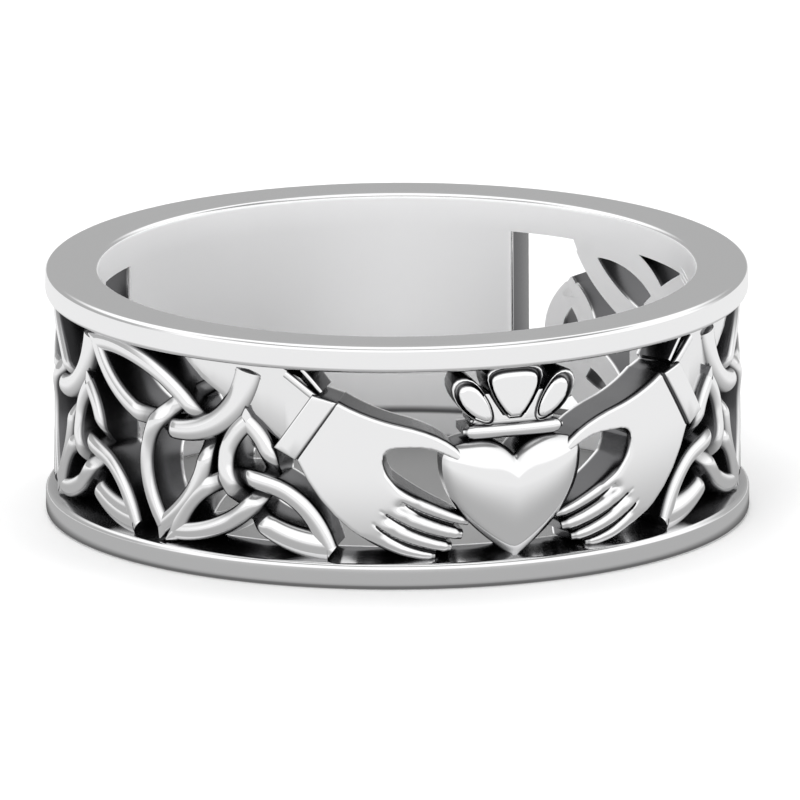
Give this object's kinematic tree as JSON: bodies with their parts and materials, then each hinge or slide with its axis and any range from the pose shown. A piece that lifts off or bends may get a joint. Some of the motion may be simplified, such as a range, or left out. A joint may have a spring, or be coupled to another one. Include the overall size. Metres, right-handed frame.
{
  "type": "claddagh ring",
  "caption": "Cast silver finger ring with plain rims and a pierced band: two hands holding a crowned heart, trinity knots at the sides and a plain back plate.",
  "frame": {"origin": "centre of the face that the ring lies on, the middle of its lower rim's outline", "axes": "+Z along the finger, up from the surface that the ring lies on; -Y towards the front, where the heart is; +X to the right of the heart"},
  "size_m": [0.0204, 0.0204, 0.0072],
  "materials": {
    "silver": "polished sterling silver"
  },
  "bodies": {
    "root": {"ring": "silver"}
  },
  "joints": []
}
